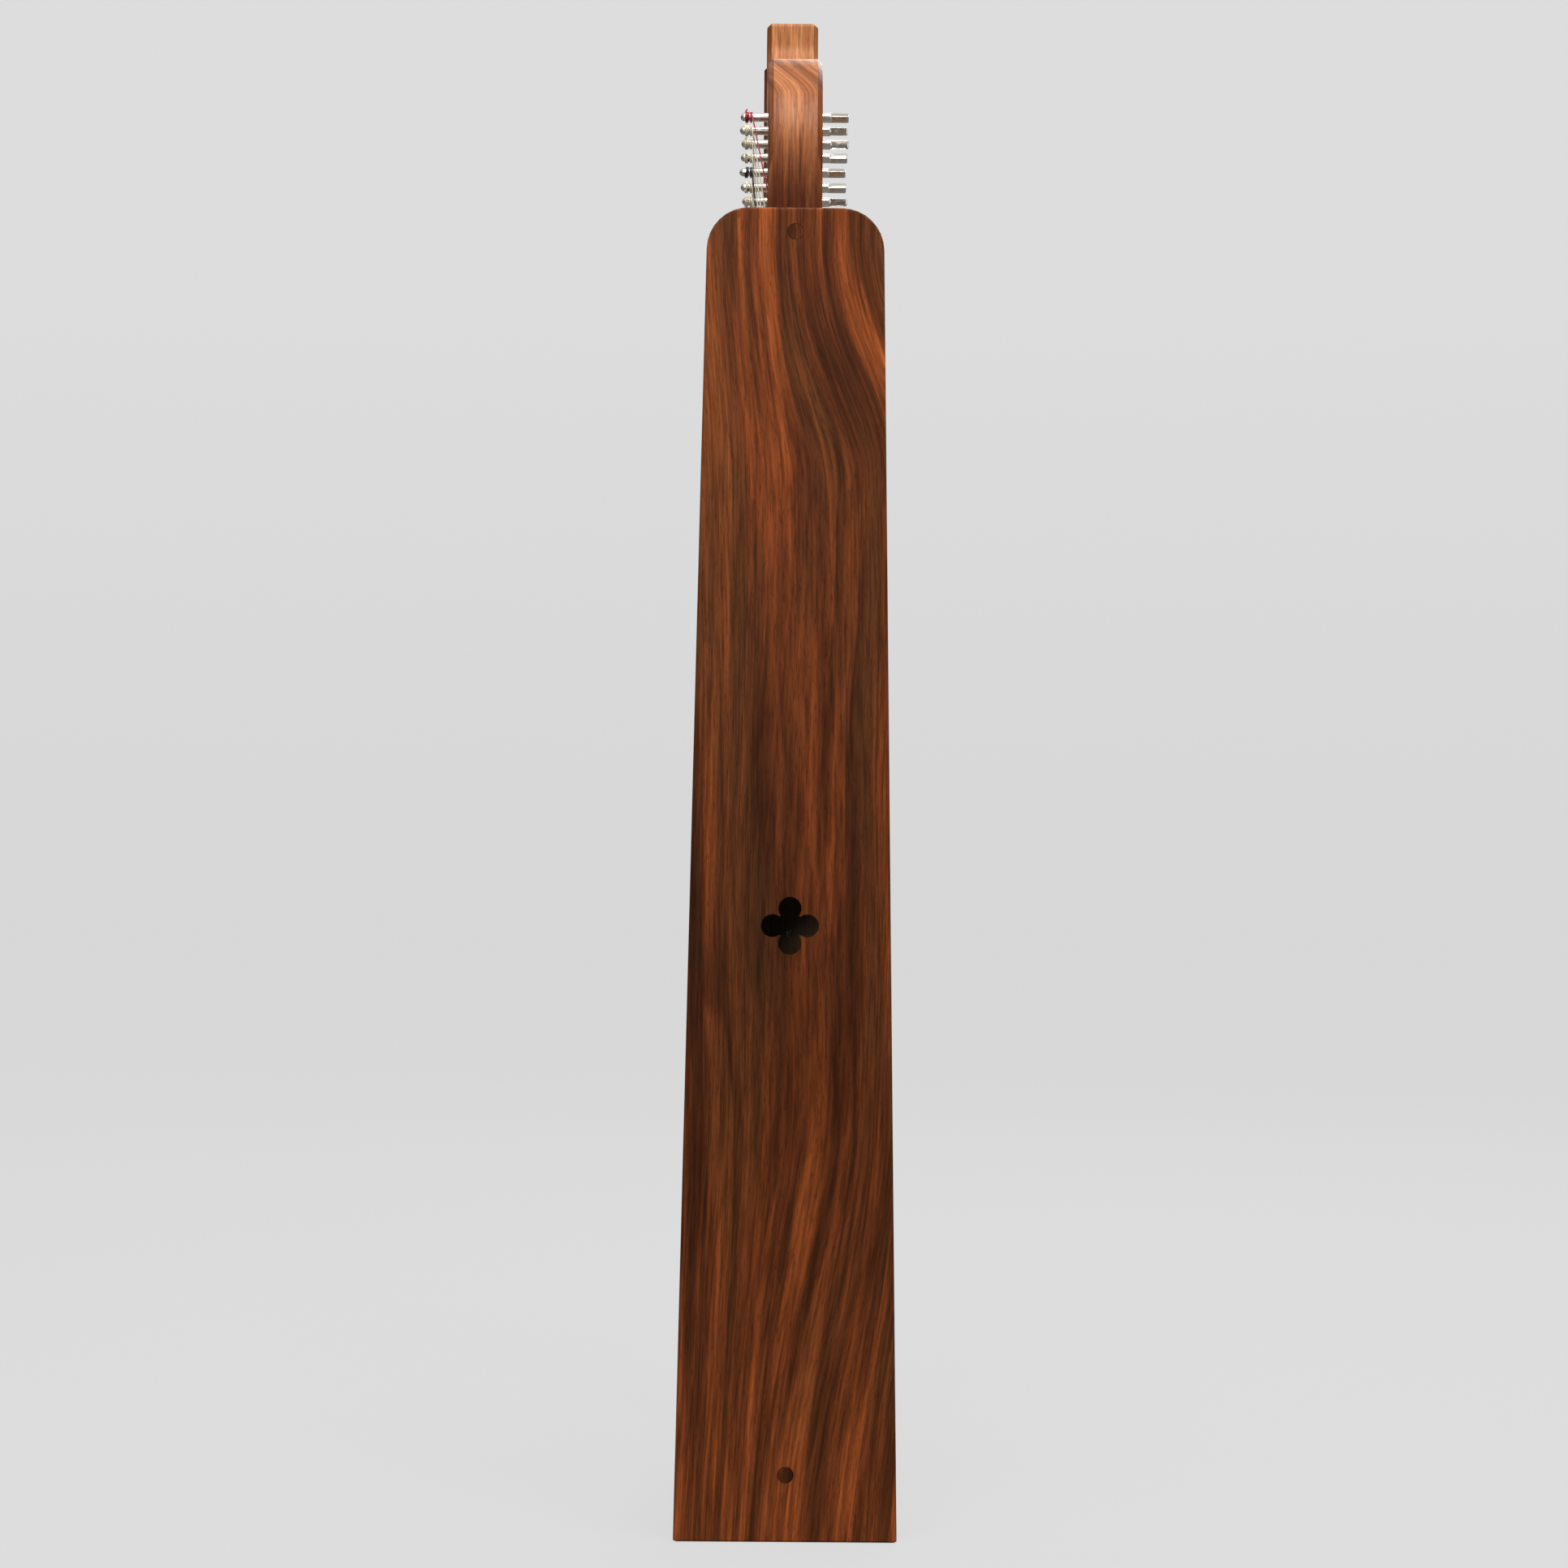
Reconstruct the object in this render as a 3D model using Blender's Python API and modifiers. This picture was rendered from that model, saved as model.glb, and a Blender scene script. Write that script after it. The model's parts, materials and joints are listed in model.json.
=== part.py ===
"""A small lap harp: a tapered soundbox, a curved neck, a bowed pillar and nineteen nylon strings.

Metres, +Z up. X runs across the harp, -Y is the back, which leans on the player, and the origin is
the middle of the soundbox's underside. Each tuning pin's own origin lies on the axis it turns about.
"""

import math

import bmesh
import bpy
from mathutils import Matrix, Vector

MM = 0.001
GAP = 0.3 * MM
SMALL = 1e-5

# Soundbox
BOX_LENGTH = 757 * MM
BOX_DEPTH = 90 * MM
TOP_WIDTH = 100 * MM
BOTTOM_WIDTH = 127 * MM
PANEL = 4 * MM
SIDE = 5 * MM
TOP_CORNER = 24 * MM
BOTTOM_CORNER = 2 * MM
TOP_BLOCK_HEIGHT = 30 * MM
BOTTOM_BLOCK_HEIGHT = 52 * MM
BACK_Y = -BOX_DEPTH / 2
FRONT_Y = BOX_DEPTH / 2
INNER_Y = BOX_DEPTH / 2 - PANEL - GAP
PANEL_ROUNDING = 1.2 * MM

# Quatrefoil sound hole in the back
HOLE_HEIGHT = 349.6 * MM
LOBE_REACH = 9.9 * MM
LOBE_RADIUS = 6.65 * MM
BAR_HALF_WIDTH = 5.3 * MM

# Screws, plugs and dowels
UPPER_SCREW_HEIGHT = 743.4 * MM
LOWER_SCREW_HEIGHT = 38.2 * MM
PLUG_RADIUS = 4.5 * MM
PLUG_LENGTH = 5.4 * MM
PLUG_GAP = 0.2 * MM
SCREW_LENGTH = 34 * MM
SCREW_HEAD_RADIUS = 4 * MM
SCREW_RADIUS = 2 * MM
SCREW_HEAD_HEIGHT = 2.5 * MM
DOWEL_RADIUS = 4 * MM

# Ribs and braces
RIB_THICKNESS = 3 * MM
RIB_WIDTH = 16 * MM
INNER_RIB_THICKNESS = 5 * MM
INNER_RIB_WIDTH = 20 * MM
BRACE_HEIGHT = 9 * MM
BRACE_DEPTH = 10 * MM
BRACE_HEIGHTS = {"upper_brace": 557 * MM, "lower_brace": 157 * MM}

# Neck, pillar and base
NECK_THICKNESS = 31.5 * MM
NECK_GROWTH = 0.24
NECK_REAR = -40
NECK_CHAMFER = 2.9 * MM
NECK_CHAMFER_START = 41 * MM
PILLAR_THICKNESS = 37.5 * MM
PILLAR_ROUNDING = 3.5 * MM
BASE_WIDTH = 92 * MM
BASE_REACH = 174 * MM
BASE_HEIGHT = 32 * MM
BASE_ROUNDING = 4 * MM
PILLAR_SCREW_REACH = 113 * MM
HEAD_DOWEL_REACH = 311

# Strings and tuning pins
NOTES = "c6 b5 a5 g5 f5 e5 d5 c5 b4 a4 g4 f4 e4 d4 c4 b3 a3 g3 f3".split()
FIRST_ANCHOR = -54
ANCHOR_SPACING = 35.9
ANCHOR_FRONT = 4.3
PIN_HALF_LENGTH = 32.6 * MM
PIN_RADIUS = 2.95 * MM
PIN_TIP_RADIUS = 2.6 * MM
PIN_HOLE_RADIUS = 3.25 * MM
PIN_SIDES = 12
HOLE_SIDES = 16
KEY_LENGTH = 9.6 * MM
KEY_WIDTH = 4.4 * MM
WINDING_NECK_SIDE = -25.3 * MM
WINDING_WIDTH = 4.8 * MM
WINDING_INNER = 2.95 * MM
WINDING_OUTER = 3.9 * MM
STRING_AT_PIN = -26 * MM
THIN_STRING = 0.9 * MM
THICK_STRING = 1.3 * MM

# How far each pin stands off the middle, and how its square end is turned, as hand driven pins do.
PIN_OFFSETS = [-0.1, -0.5, 0.4, 0.0, -0.8, -0.1, 0.8]
PIN_TURNS = [38, 4, 86, 52, 36, 48, 3]

# Outlines seen from the side. Each corner is its distance in front of the soundboard, its height
# above the soundbox's top and the radius that rounds it, in mm.
NECK_OUTLINE = [
    (NECK_REAR, 0.3, 0),
    (NECK_REAR, 172.4, 80),
    (120, 72, 80),
    (266, 140, 22),
    (285, 161, 20),
    (287, 181, 3),
    (312, 184, 20),
    (338, 177, 8),
    (338, 153.3, 3),
    (292.3, 153.3, 0),
    (292.3, -12, 0),
    (250, -22, 60),
    (180, -18, 90),
    (100, 18, 90),
    (37, 44, 20),
    (10, 0.3, 0),
]
PILLAR_OUTLINE = [
    (292.6, 153, 2),
    (292.6, -135, 800),
    (222, -430, 1300),
    (90, -724.7, 0),
    (132, -724.7, 0),
    (260, -441, 1340),
    (330, -143, 840),
    (330, 153, 2),
]
# The line of the tuning pins, through every third pin, in the same two measures.
PIN_LINE = [(47, 75.2), (83, 56.8), (119, 35.5), (155, 18.5), (191.5, 9.5), (231, 11), (275, 21)]
PINS_PER_STEP = 3

# Local X, Y and Z of a flat outline to world axes: thickness along Y, along X, or along Z.
FACING = Matrix(((1, 0, 0, 0), (0, 0, -1, 0), (0, 1, 0, 0), (0, 0, 0, 1)))
SIDEWAYS = Matrix(((0, 0, 1, 0), (1, 0, 0, 0), (0, 1, 0, 0), (0, 0, 0, 1)))
LEVEL = Matrix.Identity(4)

ROSEWOOD = ("rosewood", (0.13, 0.04, 0.018), 0.35, 0.0)
PALE_WOOD = ("soundboard_wood", (0.5, 0.3, 0.14), 0.45, 0.0)
BLOCK_WOOD = ("block_wood", (0.42, 0.24, 0.11), 0.6, 0.0)
NICKEL = ("nickel", (0.75, 0.72, 0.67), 0.22, 1.0)
STEEL = ("screw_steel", (0.5, 0.5, 0.5), 0.35, 1.0)
RED_NYLON = ("red_nylon", (0.5, 0.02, 0.03), 0.3, 0.0)
BLACK_NYLON = ("black_nylon", (0.02, 0.02, 0.025), 0.3, 0.0)
CLEAR_NYLON = ("clear_nylon", (0.82, 0.76, 0.6), 0.3, 0.0)


def clear_scene():
    for obj in list(bpy.data.objects):
        bpy.data.objects.remove(obj, do_unlink=True)


def new_collection(name):
    collection = bpy.data.collections.new(name)
    bpy.context.scene.collection.children.link(collection)
    return collection


def material(obj, look):
    """Gives the object a Principled BSDF of its own."""
    name, colour, roughness, metallic = look
    new = bpy.data.materials.new(f"{name}_{obj.name}")
    new.use_nodes = True
    shader = new.node_tree.nodes["Principled BSDF"]
    shader.inputs["Base Color"].default_value = (*colour, 1)
    shader.inputs["Roughness"].default_value = roughness
    shader.inputs["Metallic"].default_value = metallic
    obj.data.materials.clear()
    obj.data.materials.append(new)


def make_part(obj, look):
    PARTS.objects.link(obj)
    material(obj, look)
    obj.data.shade_smooth()
    obj.data.set_sharp_from_angle(angle=math.radians(35))
    return obj


def drill(obj, cutter):
    """Cuts the cutter's shape out of the object."""
    CUTTERS.objects.link(cutter)
    cutter.hide_render = True
    cutter.display_type = "WIRE"
    cut = obj.modifiers.new(cutter.name, "BOOLEAN")
    cut.object = cutter
    cut.solver = "EXACT"


def mesh_object(name, shape):
    """An object made from a bmesh, which is freed."""
    bmesh.ops.recalc_face_normals(shape, faces=shape.faces)
    mesh = bpy.data.meshes.new(name)
    shape.to_mesh(mesh)
    shape.free()
    return bpy.data.objects.new(name, mesh)


def evaluated_mesh(obj):
    """The object's mesh with its modifiers, its own matrix left out. The object is removed."""
    bpy.context.scene.collection.objects.link(obj)
    graph = bpy.context.evaluated_depsgraph_get()
    mesh = bpy.data.meshes.new_from_object(obj.evaluated_get(graph))
    bpy.data.objects.remove(obj, do_unlink=True)
    return mesh


def curve_object(name, points, cyclic):
    curve = bpy.data.curves.new(name, "CURVE")
    spline = curve.splines.new("POLY")
    spline.points.add(len(points) - 1)
    for spline_point, point in zip(spline.points, points):
        spline_point.co = (*point, 1) if len(point) == 3 else (*point, 0, 1)
    spline.use_cyclic_u = cyclic
    return bpy.data.objects.new(name, curve)


def prism(name, points, thickness, axes, centre=(0, 0, 0)):
    """A flat outline given a thickness, which axes turns and centre moves into place."""
    outline = curve_object(name, points, True)
    outline.data.dimensions = "2D"
    outline.data.fill_mode = "BOTH"
    outline.data.extrude = thickness / 2
    shape = bmesh.new()
    shape.from_mesh(evaluated_mesh(outline))
    bmesh.ops.remove_doubles(shape, verts=shape.verts, dist=SMALL)
    bmesh.ops.dissolve_limit(shape, angle_limit=0.002, verts=shape.verts, edges=shape.edges)
    shape.transform(Matrix.Translation(centre) @ axes)
    return mesh_object(name, shape)


def rounded(corners, steps=4):
    """The points of a closed outline with an arc at each corner (a, b, radius)."""
    points = []
    for index, (a, b, radius) in enumerate(corners):
        corner = Vector((a, b))
        if radius == 0:
            points.append(tuple(corner))
            continue
        before = (Vector(corners[index - 1][:2]) - corner).normalized()
        after = (Vector(corners[(index + 1) % len(corners)][:2]) - corner).normalized()
        half = math.acos(max(-1, min(1, before.dot(after)))) / 2
        centre = corner + (before + after).normalized() * radius / math.sin(half)
        start = corner + before * radius / math.tan(half) - centre
        end = corner + after * radius / math.tan(half) - centre
        turn = math.atan2(end.y, end.x) - math.atan2(start.y, start.x)
        turn = (turn + math.pi) % (2 * math.pi) - math.pi
        for step in range(steps + 1):
            arm = Matrix.Rotation(turn * step / steps, 2) @ start
            points.append(tuple(centre + arm))
    return points


def round_edges(obj, width, segments, chosen):
    """Rounds the edges that chosen picks."""
    shape = bmesh.new()
    shape.from_mesh(obj.data)
    edges = [edge for edge in shape.edges if chosen(edge)]
    bmesh.ops.bevel(
        shape, geom=edges, offset=width, segments=segments, profile=0.5, affect="EDGES"
    )
    shape.to_mesh(obj.data)
    shape.free()


def lies_at_y(y):
    return lambda edge: all(abs(vert.co.y - y) < SMALL for vert in edge.verts)


def long_edge_above(height):
    """Picks the edges between a flat cheek, which faces along X, and the rim, above a height."""

    def chosen(edge):
        faces_x = [abs(face.normal.x) > 0.9 for face in edge.link_faces]
        is_low = all(vert.co.z < height for vert in edge.verts)
        return len(faces_x) == 2 and faces_x[0] != faces_x[1] and not is_low

    return chosen


def half_width(height):
    """Half of the soundbox's outer width at a height."""
    return (BOTTOM_WIDTH + (TOP_WIDTH - BOTTOM_WIDTH) * height / BOX_LENGTH) / 2


def side_point(front, above):
    """World Y and Z of a point given in mm in front of the soundboard and above the soundbox."""
    return (FRONT_Y + front * MM, BOX_LENGTH + above * MM)


def side_outline(corners, steps):
    world = [(*side_point(front, above), radius * MM) for front, above, radius in corners]
    return rounded(world, steps)


def rod_between(shape, start, end, radius, sides):
    """Adds a closed cylinder from start to end to the bmesh."""
    start, end = Vector(start), Vector(end)
    turn = (end - start).to_track_quat("Z", "Y").to_matrix().to_4x4()
    bmesh.ops.create_cone(
        shape,
        cap_ends=True,
        segments=sides,
        radius1=radius,
        radius2=radius,
        depth=(end - start).length,
        matrix=Matrix.Translation((start + end) / 2) @ turn,
    )


def rods(name, holes, sides=HOLE_SIDES):
    """One object that holds a cylinder for each (start, end, radius)."""
    shape = bmesh.new()
    for start, end, radius in holes:
        rod_between(shape, start, end, radius, sides)
    return mesh_object(name, shape)


def turned(name, profile, sides):
    """A mesh turned about Z from a profile of (radius, height) points, top to bottom."""
    shape = bmesh.new()
    verts = [shape.verts.new((radius, 0, height)) for radius, height in profile]
    for first, second in zip(verts, verts[1:]):
        shape.edges.new((first, second))
    if profile[0][0] > 0:
        shape.edges.new((verts[-1], verts[0]))
    obj = mesh_object(name, shape)
    screw = obj.modifiers.new("turn", "SCREW")
    screw.steps = sides
    screw.render_steps = sides
    screw.use_merge_vertices = True
    screw.merge_threshold = SMALL
    return evaluated_mesh(obj)


def box_outline(bottom_z, top_z, inset=0.0, bottom_corner=0.0, top_corner=0.0):
    """The soundbox's outline between two heights, drawn in by inset on each side."""
    low = half_width(bottom_z) - inset
    high = half_width(top_z) - inset
    corners = [
        (-low, bottom_z, bottom_corner),
        (low, bottom_z, bottom_corner),
        (high, top_z, top_corner),
        (-high, top_z, top_corner),
    ]
    return rounded(corners, 8)


def quatrefoil():
    """Four round lobes joined by crossed bars."""
    opening = math.pi - math.asin(BAR_HALF_WIDTH / LOBE_RADIUS)
    points = []
    for quarter in range(4):
        turn = Matrix.Rotation(quarter * math.pi / 2, 2)
        for step in range(11):
            angle = opening * (step / 5 - 1)
            arm = Vector((math.cos(angle), math.sin(angle))) * LOBE_RADIUS
            points.append(turn @ (Vector((LOBE_REACH, 0)) + arm))
        points.append(turn @ Vector((BAR_HALF_WIDTH, BAR_HALF_WIDTH)))
    return [(point.x, point.y + HOLE_HEIGHT) for point in points]


def back_hole(name, height, length):
    """A bore from the back face for a plug and the screw's head under it."""
    start = (0, BACK_Y - PANEL, height)
    end = (0, BACK_Y + length, height)
    return rods(name, [(start, end, PLUG_RADIUS + PLUG_GAP)], 20)


def make_panels():
    outline = box_outline(0, BOX_LENGTH, 0, BOTTOM_CORNER, TOP_CORNER)
    back = prism("back_panel", outline, PANEL, FACING, (0, BACK_Y + PANEL / 2, 0))
    round_edges(back, PANEL_ROUNDING, 2, lies_at_y(BACK_Y))
    make_part(back, ROSEWOOD)
    drill(back, prism("sound_hole_cutter", quatrefoil(), 3 * PANEL, FACING, (0, BACK_Y, 0)))
    drill(back, back_hole("upper_plug_bore", UPPER_SCREW_HEIGHT, 2 * PANEL))
    drill(back, back_hole("lower_plug_bore", LOWER_SCREW_HEIGHT, 2 * PANEL))

    front = prism("soundboard", outline, PANEL, FACING, (0, FRONT_Y - PANEL / 2, 0))
    round_edges(front, PANEL_ROUNDING, 2, lies_at_y(FRONT_Y))
    make_part(front, PALE_WOOD)
    drill(front, rods("soundboard_dowel_hole", [foot_dowel_ends(DOWEL_RADIUS + GAP, GAP)]))


def make_sides():
    top = BOX_LENGTH - TOP_BLOCK_HEIGHT - GAP
    for name, sign in (("left_side", -1), ("right_side", 1)):
        corners = [
            (sign * half_width(0), 0),
            (sign * (half_width(0) - SIDE), 0),
            (sign * (half_width(top) - SIDE), top),
            (sign * half_width(top), top),
        ]
        make_part(prism(name, corners, 2 * INNER_Y, FACING), ROSEWOOD)


def neck_dowel_ends(name, radius, gap=0.0):
    y = FRONT_Y + {"neck_dowel_rear": -29, "neck_dowel_front": -13}[name] * MM
    low = BOX_LENGTH - 20 * MM - gap
    high = BOX_LENGTH + 22 * MM + gap
    return ((0, y, low), (0, y, high), radius)


def head_dowel_ends(radius, gap=0.0):
    y, low = side_point(HEAD_DOWEL_REACH, 126)
    high = low + 44 * MM
    return ((0, y, low - gap), (0, y, high + gap), radius)


def foot_dowel_ends(radius, gap=0.0):
    z = BASE_HEIGHT / 2
    return ((0, FRONT_Y - 24 * MM - gap, z), (0, FRONT_Y + 30 * MM + gap, z), radius)


def make_blocks():
    hole = DOWEL_RADIUS + GAP
    bottom = BOX_LENGTH - TOP_BLOCK_HEIGHT
    outline = box_outline(bottom, BOX_LENGTH, 0, 0, TOP_CORNER)
    top_block = make_part(prism("top_block", outline, 2 * INNER_Y, FACING), ROSEWOOD)
    drill(top_block, back_hole("upper_head_bore", UPPER_SCREW_HEIGHT, PLUG_LENGTH + 4 * MM))
    drill(top_block, screw_bore("upper_shank_bore", UPPER_SCREW_HEIGHT))
    names = ("neck_dowel_rear", "neck_dowel_front")
    drill(top_block, rods("top_block_bores", [neck_dowel_ends(name, hole, GAP) for name in names]))

    outline = box_outline(0, BOTTOM_BLOCK_HEIGHT, SIDE + GAP)
    block = make_part(prism("bottom_block", outline, 2 * INNER_Y, FACING), BLOCK_WOOD)
    drill(block, back_hole("lower_head_bore", LOWER_SCREW_HEIGHT, PLUG_LENGTH + 4 * MM))
    drill(block, screw_bore("lower_shank_bore", LOWER_SCREW_HEIGHT))
    drill(block, rods("bottom_block_bore", [foot_dowel_ends(hole, GAP)]))


def screw_bore(name, height):
    start = (0, BACK_Y, height)
    end = (0, BACK_Y + PLUG_LENGTH + SCREW_LENGTH + 2 * MM, height)
    return rods(name, [(start, end, SCREW_RADIUS + GAP)])


def screw_mesh():
    """A countersunk wood screw, its head's face at Z 0 and its point down."""
    profile = [
        (0, 0),
        (SCREW_HEAD_RADIUS, 0),
        (SCREW_RADIUS, -SCREW_HEAD_HEIGHT),
        (SCREW_RADIUS, -SCREW_LENGTH + 4 * MM),
        (0, -SCREW_LENGTH),
    ]
    return turned("wood_screw", profile, 12)


def make_fasteners():
    mesh = screw_mesh()
    into_back = Matrix.Rotation(math.pi / 2, 4, "X")
    for name, height in (("upper", UPPER_SCREW_HEIGHT), ("lower", LOWER_SCREW_HEIGHT)):
        screw = bpy.data.objects.new(f"{name}_screw", mesh.copy())
        head = (0, BACK_Y + PLUG_LENGTH + GAP, height)
        screw.matrix_world = Matrix.Translation(head) @ into_back
        make_part(screw, STEEL)
        ends = ((0, BACK_Y, height), (0, BACK_Y + PLUG_LENGTH, height), PLUG_RADIUS)
        make_part(rods(f"{name}_plug", [ends], 20), ROSEWOOD)
    screw = bpy.data.objects.new("pillar_screw", mesh.copy())
    head = (0, FRONT_Y + PILLAR_SCREW_REACH, 8 * MM)
    screw.matrix_world = Matrix.Translation(head) @ Matrix.Rotation(math.pi, 4, "X")
    make_part(screw, STEEL)
    for name in ("neck_dowel_rear", "neck_dowel_front"):
        make_part(rods(name, [neck_dowel_ends(name, DOWEL_RADIUS)]), BLOCK_WOOD)
    make_part(rods("head_dowel", [head_dowel_ends(DOWEL_RADIUS)]), BLOCK_WOOD)
    make_part(rods("foot_dowel", [foot_dowel_ends(DOWEL_RADIUS)]), BLOCK_WOOD)


def bar(name, half, y_span, z_span, look):
    """A straight bar, half wide on each side of the middle plane."""
    corners = [(-half, z_span[0]), (half, z_span[0]), (half, z_span[1]), (-half, z_span[1])]
    depth = y_span[1] - y_span[0]
    centre = (0, (y_span[0] + y_span[1]) / 2, 0)
    return make_part(prism(name, corners, depth, FACING, centre), look)


def make_ribs_and_braces():
    rib = bar(
        "string_rib",
        RIB_WIDTH / 2,
        (FRONT_Y + GAP, FRONT_Y + GAP + RIB_THICKNESS),
        (BASE_HEIGHT + 3 * MM, BOX_LENGTH - 28 * MM),
        ROSEWOOD,
    )
    round_edges(rib, 1 * MM, 1, lies_at_y(FRONT_Y + GAP + RIB_THICKNESS))
    inner_back = INNER_Y - INNER_RIB_THICKNESS
    z_span = (BOTTOM_BLOCK_HEIGHT + GAP, BOX_LENGTH - TOP_BLOCK_HEIGHT - GAP)
    bar("inner_string_rib", INNER_RIB_WIDTH / 2, (inner_back, INNER_Y), z_span, BLOCK_WOOD)
    for name, height in BRACE_HEIGHTS.items():
        half = half_width(height + BRACE_HEIGHT) - SIDE - GAP
        z_span = (height, height + BRACE_HEIGHT)
        bar(name, half, (-INNER_Y, -INNER_Y + BRACE_DEPTH), z_span, BLOCK_WOOD)


def pin_places():
    """World Y and Z of each tuning pin, on a smooth line through the points of PIN_LINE."""
    line = [Vector(point) for point in PIN_LINE]
    line = [2 * line[0] - line[1], *line, 2 * line[-1] - line[-2]]
    places = []
    for index in range(len(NOTES)):
        step, part = divmod(index / PINS_PER_STEP, 1)
        if step == len(PIN_LINE) - 1:
            step, part = step - 1, 1.0
        a, b, c, d = line[int(step) : int(step) + 4]
        first, second = (c - a) / 2, (d - b) / 2
        smooth = (2 * part**3 - 3 * part**2 + 1) * b + (part**3 - 2 * part**2 + part) * first
        smooth += (3 * part**2 - 2 * part**3) * c + (part**3 - part**2) * second
        places.append(side_point(*smooth))
    return places


def make_neck():
    neck = prism("neck", side_outline(NECK_OUTLINE, 14), NECK_THICKNESS, SIDEWAYS)
    rear = FRONT_Y + NECK_REAR * MM
    for vert in neck.data.vertices:
        vert.co.x *= 1 + NECK_GROWTH * (vert.co.y - rear)
    round_edges(neck, NECK_CHAMFER, 1, long_edge_above(BOX_LENGTH + NECK_CHAMFER_START))
    make_part(neck, ROSEWOOD)
    reach = NECK_THICKNESS
    holes = [((-reach, y, z), (reach, y, z), PIN_HOLE_RADIUS) for y, z in pin_places()]
    drill(neck, rods("pin_holes", holes))
    hole = DOWEL_RADIUS + GAP
    bores = [neck_dowel_ends(name, hole, GAP) for name in ("neck_dowel_rear", "neck_dowel_front")]
    drill(neck, rods("neck_dowel_bores", [*bores, head_dowel_ends(hole, GAP)]))


def make_pillar_and_base():
    pillar = prism("pillar", side_outline(PILLAR_OUTLINE, 8), PILLAR_THICKNESS, SIDEWAYS)
    round_edges(pillar, PILLAR_ROUNDING, 3, long_edge_above(BASE_HEIGHT + 2 * MM))
    make_part(pillar, ROSEWOOD)
    drill(pillar, rods("pillar_dowel_bore", [head_dowel_ends(DOWEL_RADIUS + GAP, GAP)]))
    y = FRONT_Y + PILLAR_SCREW_REACH
    shank = ((0, y, 0), (0, y, 8 * MM + SCREW_LENGTH + 2 * MM), SCREW_RADIUS + GAP)
    drill(pillar, rods("pillar_screw_bore", [shank]))

    half = BASE_WIDTH / 2
    corners = [
        (-half, FRONT_Y + GAP, 0),
        (half, FRONT_Y + GAP, 0),
        (half, FRONT_Y + BASE_REACH, 30 * MM),
        (-half, FRONT_Y + BASE_REACH, 30 * MM),
    ]
    centre = (0, 0, BASE_HEIGHT / 2)
    base = prism("base_foot", rounded(corners, 8), BASE_HEIGHT, LEVEL, centre)

    def is_top(edge):
        high = all(vert.co.z > BASE_HEIGHT - SMALL for vert in edge.verts)
        return high and any(vert.co.y > FRONT_Y + 1 * MM for vert in edge.verts)

    round_edges(base, BASE_ROUNDING, 3, is_top)
    make_part(base, ROSEWOOD)
    head = ((0, y, -1 * MM), (0, y, 12 * MM), SCREW_HEAD_RADIUS + GAP)
    drill(base, rods("base_head_bore", [head]))
    through = ((0, y, 0), (0, y, BASE_HEIGHT + 5 * MM), SCREW_RADIUS + GAP)
    drill(base, rods("base_screw_bore", [through]))
    drill(base, rods("base_dowel_bore", [foot_dowel_ends(DOWEL_RADIUS + GAP, GAP)]))


def pin_mesh():
    """A tapered pin along X: a domed tip at -X for the string and a square key end at +X."""
    key_start = PIN_HALF_LENGTH - KEY_LENGTH
    profile = [
        (0, key_start),
        (KEY_WIDTH / 2, key_start),
        (PIN_RADIUS, key_start - 1.3 * MM),
        (PIN_RADIUS, -12 * MM),
        (PIN_TIP_RADIUS, -19 * MM),
        (PIN_TIP_RADIUS, -PIN_HALF_LENGTH + 1.6 * MM),
        (0.8 * PIN_TIP_RADIUS, -PIN_HALF_LENGTH + 0.6 * MM),
        (0.4 * PIN_TIP_RADIUS, -PIN_HALF_LENGTH + 0.1 * MM),
        (0, -PIN_HALF_LENGTH),
    ]
    shaft = bpy.data.objects.new("pin_shaft", turned("pin_shaft", profile, PIN_SIDES))
    shape = bmesh.new()
    size = Matrix.Diagonal((KEY_WIDTH, KEY_WIDTH, KEY_LENGTH + 1 * MM, 1))
    middle = Matrix.Translation((0, 0, PIN_HALF_LENGTH - (KEY_LENGTH + 1 * MM) / 2))
    bmesh.ops.create_cube(shape, size=1, matrix=middle @ size)
    end = [edge for edge in shape.edges if all(v.co.z > key_start for v in edge.verts)]
    bmesh.ops.bevel(shape, geom=end, offset=0.4 * MM, segments=1, profile=0.5, affect="EDGES")
    key = mesh_object("pin_key", shape)
    CUTTERS.objects.link(key)
    join = shaft.modifiers.new("key", "BOOLEAN")
    join.operation = "UNION"
    join.object = key
    mesh = evaluated_mesh(shaft)
    bpy.data.objects.remove(key, do_unlink=True)
    mesh.transform(Matrix.Rotation(math.pi / 2, 4, "Y"))
    return mesh


def make_pins():
    mesh = pin_mesh()
    for index, (y, z) in enumerate(pin_places()):
        pin = bpy.data.objects.new(f"tuning_pin_{NOTES[index]}", mesh.copy())
        pin.location = (PIN_OFFSETS[index % len(PIN_OFFSETS)] * MM, y, z)
        pin.rotation_euler.x = math.radians(PIN_TURNS[index % len(PIN_TURNS)])
        make_part(pin, NICKEL)


def string_look(note):
    return {"c": RED_NYLON, "f": BLACK_NYLON}.get(note[0], CLEAR_NYLON)


def winding(y, z):
    """The turns of a string on its pin, as a plain ring about the pin's axis."""
    low, high = WINDING_NECK_SIDE - WINDING_WIDTH, WINDING_NECK_SIDE
    profile = [
        (WINDING_INNER, high),
        (WINDING_OUTER, high),
        (WINDING_OUTER, low),
        (WINDING_INNER, low),
    ]
    mesh = turned("winding", profile, PIN_SIDES)
    mesh.transform(Matrix.Translation((0, y, z)) @ Matrix.Rotation(math.pi / 2, 4, "Y"))
    return mesh


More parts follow.
